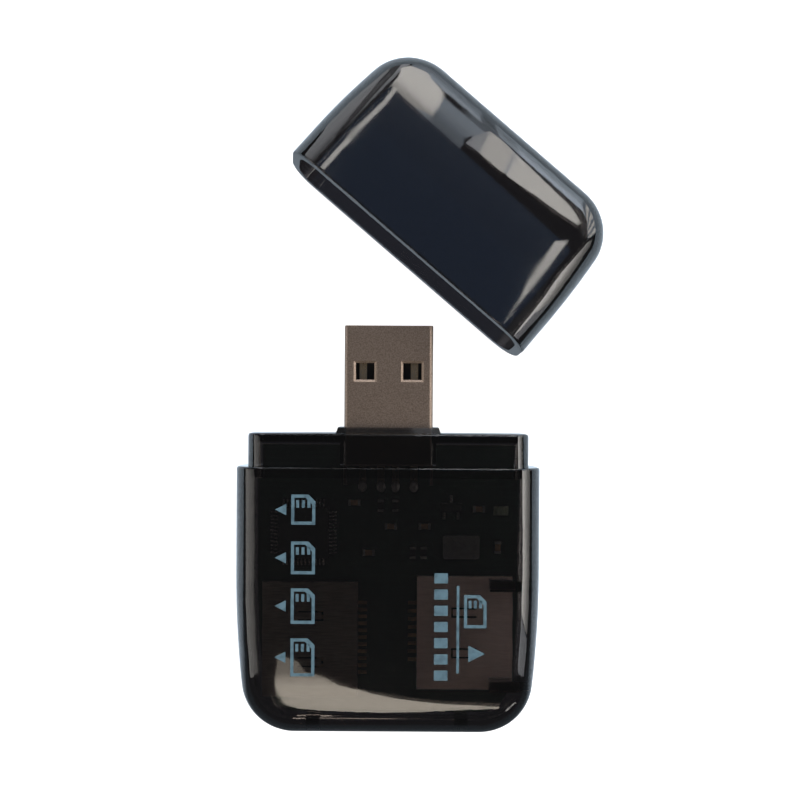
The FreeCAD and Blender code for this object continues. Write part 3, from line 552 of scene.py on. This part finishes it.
signs = []
bars = []
for row, y in enumerate(LEFT_SIGN_ROWS):
    length = LEFT_CARD_LENGTH + LEFT_CARD_GROWTH * row
    signs.append(card_sign(LEFT_CARDS, y, LEFT_CARD_WIDTH, length))
    signs.append(arrow_sign(LEFT_ARROWS, y, LEFT_ARROW_SIZE, -1))
    bars += [(LEFT_CARDS + LEFT_BAR_PITCH * (n - 1), y + length / 2 - LEFT_BAR_INSET)
             for n in range(BAR_COUNT)]
signs.append(card_sign(*RIGHT_CARD, *RIGHT_CARD_SIZE))
signs.append(arrow_sign(*RIGHT_ARROW, RIGHT_ARROW_SIZE, 1))
bars += [(RIGHT_CARD[0] + RIGHT_BAR_PITCH * (n - 1), RIGHT_CARD[1] + RIGHT_BAR_RISE)
         for n in range(BAR_COUNT)]
blocks = [(BLOCK_COLUMN, BLOCK_TOP - BLOCK_PITCH * n) for n in range(BLOCK_ROWS)]
print_shapes("slot_signs", signs)

bar_tree = block_tree("printed bar", ("Width", "Length", "Depth"), ink)
for name, middles, (width, length) in (("contact_bars", bars, BAR_SIZE),
                                       ("sign_blocks", blocks, BLOCK_SIZE),
                                       ("sign_rule", [RULE_MIDDLE], RULE_SIZE)):
    points = [(x * MM, y * MM, face_height + INK_DEPTH / 2) for x, y in middles]
    sizes = {"Width": width * MM, "Length": length * MM, "Depth": INK_DEPTH}
    lay_on_face(grow(name, bar_tree, points, sizes))


# Cap: moulded from the same smoke plastic, open at one end, where it slides over the body's
# collar. It lies beside the reader on its bowed back, tipped to where its weight balances.
coat(welded("cap", "slip_cap"), smoke)


# Floor: a sheet of white paper on the table. It is white to the camera. In the gloss it glows
# with painted light, brighter away from the closed end, and painted shade dims it before the
# cap's mouth. Through the smoke plastic it shows painted shade, as dim as paper in shade.
FLOOR_HALF = 20.0
FLOOR_DROP = 0.05 * MM
FLOOR_WHITE = (0.93, 0.93, 0.93, 1)
FLOOR_SHADED = (0.90, 0.90, 0.90, 1)
FLOOR_TO_CAMERA = 1.0
WHITE = (1, 1, 1, 1)
GLOSS_NEAR = 0.17
GLOSS_FAR = 1.35
GLOSS_RISE = (-25 * MM, -7 * MM)
SHADE_AT_MOUTH = 0.62
SHADE_AHEAD = (-2 * MM, 4 * MM)
SHADE_REACH = (24 * MM, 38 * MM)
MOUTH_MIDDLE = Vector((2.3, 46.6, 0)) * MM
CAP_AXIS = Vector((0.649, 0.761, 0))
FLOOR_GLOSS_BLUE = (0.74, 0.87, 1.0, 1)
FLOOR_IN_PLASTIC = (0.036, 0.036, 0.043, 1)

floor_mesh = bpy.data.meshes.new("floor")
floor_mesh.from_pydata([(x * FLOOR_HALF, y * FLOOR_HALF, 0)
                        for x, y in ((-1, -1), (1, -1), (1, 1), (-1, 1))], [], [(0, 1, 2, 3)])
floor = bpy.data.objects.new("floor", floor_mesh)
floor.location.z = cad_box[0][2] - FLOOR_DROP
bpy.context.collection.objects.link(floor)
paper, at, shader = start_material("white paper")
to_camera = at.node("ShaderNodeLightPath", {}, {}, "Is Camera Ray")
in_gloss = at.node("ShaderNodeLightPath", {}, {}, "Is Glossy Ray")
in_plastic = at.node("ShaderNodeLightPath", {}, {}, "Is Transmission Ray")
at.noise(300).tint(FLOOR_WHITE, FLOOR_SHADED).feed(shader["Base Color"])
shader["Roughness"].default_value = 0.9
shader["Specular IOR Level"].default_value = 0.0
shader["Emission Color"].default_value = WHITE
(FLOOR_TO_CAMERA * to_camera).feed(shader["Emission Strength"])
# The floor's glow in the gloss is painted light, with painted shade towards the closed end and
# before the cap's mouth.
away = at.part("Y").fade(*GLOSS_RISE)
from_mouth = at.node("ShaderNodeVectorMath", {"operation": "SUBTRACT"}, {0: at, 1: MOUTH_MIDDLE})
ahead = at.node("ShaderNodeVectorMath", {"operation": "DOT_PRODUCT"},
                {0: from_mouth, 1: CAP_AXIS}, 1)
far = at.node("ShaderNodeVectorMath", {"operation": "LENGTH"}, {0: from_mouth}, 1)
shade = SHADE_AT_MOUTH * (1 - ahead.fade(*SHADE_AHEAD)) * (1 - far.fade(*SHADE_REACH))
sheen = away.between(GLOSS_NEAR, GLOSS_FAR) * (1 - shade)
# Seen through the plastic the floor glows only dimly: painted shade.
dim = at.node("ShaderNodeEmission", {}, {"Color": FLOOR_IN_PLASTIC})
lit = Socket(paper.node_tree, paper.node_tree.nodes["Principled BSDF"].outputs["BSDF"])
bright = at.node("ShaderNodeEmission", {}, {"Color": FLOOR_GLOSS_BLUE, "Strength": sheen})
glossed = at.node("ShaderNodeMixShader", {}, {0: in_gloss, 1: lit, 2: bright})
seen = at.node("ShaderNodeMixShader", {}, {0: in_plastic, 1: glossed, 2: dim})
seen.feed(paper.node_tree.nodes["Material Output"].inputs["Surface"])
floor_mesh.materials.append(paper)


# Lights: cards of cloth with lamps behind them. One hangs beyond the closed end, and thin ones
# hang over the cap. Most stand on a slanting wall at the upper right of the picture, three
# beyond the cap and three at the sides. The room around them is dim.
WARM = (1.0, 0.90, 0.76, 1)
PALE = (1.0, 0.97, 0.92, 1)
SKY = (0.76, 0.87, 1.0, 1)
CLOUD = (0.93, 0.95, 1.0, 1)
DUSK = (0.28, 0.52, 1.0, 1)
CLOTH_BLACK = (0, 0, 0, 1)
ROOM_DIM = (0.085, 0.085, 0.09, 1)
HANGING_HEIGHT = 250
WALL_START = (197, 316)
WALL_COS, WALL_SIN = 0.8, 0.6
SIDE_FOOT = 68
BEYOND_FOOT = 10


def light_card(name, corners, colour, strength, foot_strength=None, fade_from=None, axis="Z"):
    """A glowing card between corners in mm. Strength 1 is as bright as lit paper. It may fade to
    another strength at its foot, or at the lower end of another axis, from fade_from up."""
    mesh = bpy.data.meshes.new(name)
    mesh.from_pydata([Vector(corner) * MM for corner in corners], [], [tuple(range(len(corners)))])
    cloth, at, shader = start_material(name)
    shader["Base Color"].default_value = CLOTH_BLACK
    shader["Emission Color"].default_value = colour
    shader["Emission Strength"].default_value = strength
    if foot_strength is not None:
        places = [corner["XYZ".index(axis)] for corner in corners]
        rise = at.part(axis).fade((fade_from or min(places)) * MM, max(places) * MM)
        rise.between(foot_strength, strength).feed(shader["Emission Strength"])
    mesh.materials.append(cloth)
    card = bpy.data.objects.new(name, mesh)
    card.visible_camera = False
    bpy.context.collection.objects.link(card)


def hung(*places):
    """Corners of a card that hangs level over the table."""
    return [(x, y, HANGING_HEIGHT) for x, y in places]


def on_wall(behind, *places):
    """Corners of a card on the wall, or some mm behind it, by place along it and height."""
    return [(WALL_START[0] + WALL_COS * s + WALL_SIN * behind,
             WALL_START[1] - WALL_SIN * s + WALL_COS * behind, z) for s, z in places]


def upright(first, second, top, foot):
    """Corners of a card that stands between two places on the table."""
    return [(*first, top), (*second, top), (*second, foot), (*first, foot)]


light_card("end_card", hung(
    (-34.5, -48), (-28, -52), (-22, -71), (-15, -116), (-7, -152), (1, -180), (9, -197),
    (20, -217), (30, -223), (42, -236), (40, -246), (31, -255), (21, -264), (10, -279),
    (1, -285), (-9, -286), (-18, -278), (-27, -269), (-34, -252), (-38, -224),
    (-37.5, -162), (-35.6, -80)), WARM, 2.0, 5.3, -118, "Y")
light_card("end_corner_card", [
    (125, -234, 135), (215, -249, 120), (275, -252, 85), (275, -252, 60),
    (215, -249, 90), (125, -234, 100)], PALE, 3.5)
light_card("cap_left_card", hung(
    (17, 145), (22, 151), (26.4, 156), (39.9, 174), (56.9, 196), (73.4, 218),
    (91.9, 243), (117, 279), (118.4, 278), (93.1, 242), (74.6, 217), (58.1, 195),
    (41.1, 173), (27.6, 155), (23.2, 150), (18, 144)), PALE, 5.5)
light_card("cap_right_card", hung(
    (73, 97), (96, 128), (160, 205), (176, 218), (164, 204), (90, 117.5)), PALE, 5.5)
light_card("upper_left_card", on_wall(
    0, (-57, 372), (-44, 340), (-31, 323), (-27, 258), (-27, 232), (-50, 140),
    (-145, 70), (-205, 107)), PALE, 0.8, 7.0, 275)
light_card("upper_middle_card", on_wall(
    0, (-31, 330), (-13, 330), (-13, 303), (-10, 280), (-5, 245), (-27, 245)), SKY, 1.5, 2.9)
light_card("upper_dim_card", on_wall(
    0, (-12, 316), (-4, 309), (-3, 230), (-4, 236), (-9, 275)), CLOUD, 3.2)
light_card("upper_right_card", on_wall(
    0, (-4, 309), (7, 311), (9, 309), (9, 232), (3, 222), (-3, 230)), PALE, 5.4)
light_card("upper_far_card", on_wall(
    0, (11, 308), (18, 301), (28, 293), (39, 287), (48, 276), (48, 268),
    (44, 252), (40, 246), (27, 240), (11, 233)), PALE, 6.4)
light_card("upper_gap_card", on_wall(
    3, (5, 308), (15, 305), (15, 236), (5, 230)), CLOUD, 4.2)
light_card("upper_glow_card", on_wall(
    10, (-75, 480), (-33, 455), (-33, 290), (-75, 310)), SKY, 0.1, 3.0)
light_card("middle_glow_card", on_wall(
    10, (-33, 430), (-14, 420), (-14, 310), (-33, 310)), SKY, 0.05, 1.7)
light_card("notch_card", on_wall(
    20, (-16, 300), (8, 300), (8, 0), (-16, 0)), SKY, 1.3)
light_card("over_card", [
    (-10, 120, 262), (62, 66, 262), (200, 190, 262), (110, 300, 262)], DUSK, 0.27)
light_card("low_left_card", on_wall(
    12, (-150, 225), (-8, 225), (-4, 60), (-4, 0), (-150, 0)), SKY, 4.0, 2.0)
light_card("low_right_card", on_wall(
    12, (2, 210), (12, 226), (12, 0), (2, 0)), SKY, 3.4, 2.4)
light_card("low_far_card", on_wall(
    12, (12, 226), (42, 241), (60, 230), (60, 0), (12, 0)), SKY, 6.0, 3.0)
light_card("corner_back_card", on_wall(
    20, (60, 225), (300, 225), (300, 5), (60, 5)), SKY, 1.8)
for n, (near, far) in enumerate(((80, 105), (122, 150), (172, 205), (236, 280))):
    light_card("corner_card_%d" % n, on_wall(
        12, (near, 215), (far, 215), (far, 15), (near, 15)), PALE, 4.5)
light_card("flank_card", upright((-175, 297), (-60, 332), 540, BEYOND_FOOT), CLOUD, 0.4, 2.3, 90)
light_card("flank_dim_card", upright((-60, 332), (8, 353), 540, BEYOND_FOOT), CLOUD, 0.15, 0.6, 90)
light_card("step_card", upright((6, 458), (75, 458), 700, BEYOND_FOOT), CLOUD, 0.6, 3.0, 90)
light_card("right_card", upright((330, 95), (330, -72), 307, SIDE_FOOT), PALE, 7.2, 1.3)
light_card("right_low_card", upright((330, -74), (330, -112), 307, SIDE_FOOT), CLOUD, 2.4, 1.6)
light_card("left_card", upright((-330, 95), (-330, -125), 380, SIDE_FOOT), PALE, 0.7, 2.0)

world = bpy.data.worlds.new("dim room")
world.use_nodes = True
to_camera = Socket(world.node_tree).node("ShaderNodeLightPath", {}, {}, "Is Camera Ray")
backdrop = to_camera.tint(ROOM_DIM, WHITE)
backdrop.feed(world.node_tree.nodes["Background"].inputs["Color"])
bpy.context.scene.world = world


# Camera: straight above, with the picture's middle and scale taken from the plug's width.
PICTURE_WIDTH = 109.4 * MM
PICTURE_MIDDLE = Vector((1.54, 27.02, 6.0)) * MM
CAMERA_DISTANCE = 200 * MM
CAMERA_TURN = math.radians(0.35)
NEAREST_SEEN = 10 * MM
SENSOR = 36.0

lens = bpy.data.cameras.new("camera")
lens.sensor_width = SENSOR
lens.lens = SENSOR * CAMERA_DISTANCE / PICTURE_WIDTH
lens.clip_start = NEAREST_SEEN
camera = bpy.data.objects.new("camera", lens)
camera.location = PICTURE_MIDDLE + Vector((0, 0, CAMERA_DISTANCE))
camera.rotation_euler.z = CAMERA_TURN
bpy.context.collection.objects.link(camera)
bpy.context.scene.camera = camera
bpy.context.scene.view_settings.view_transform = "Standard"
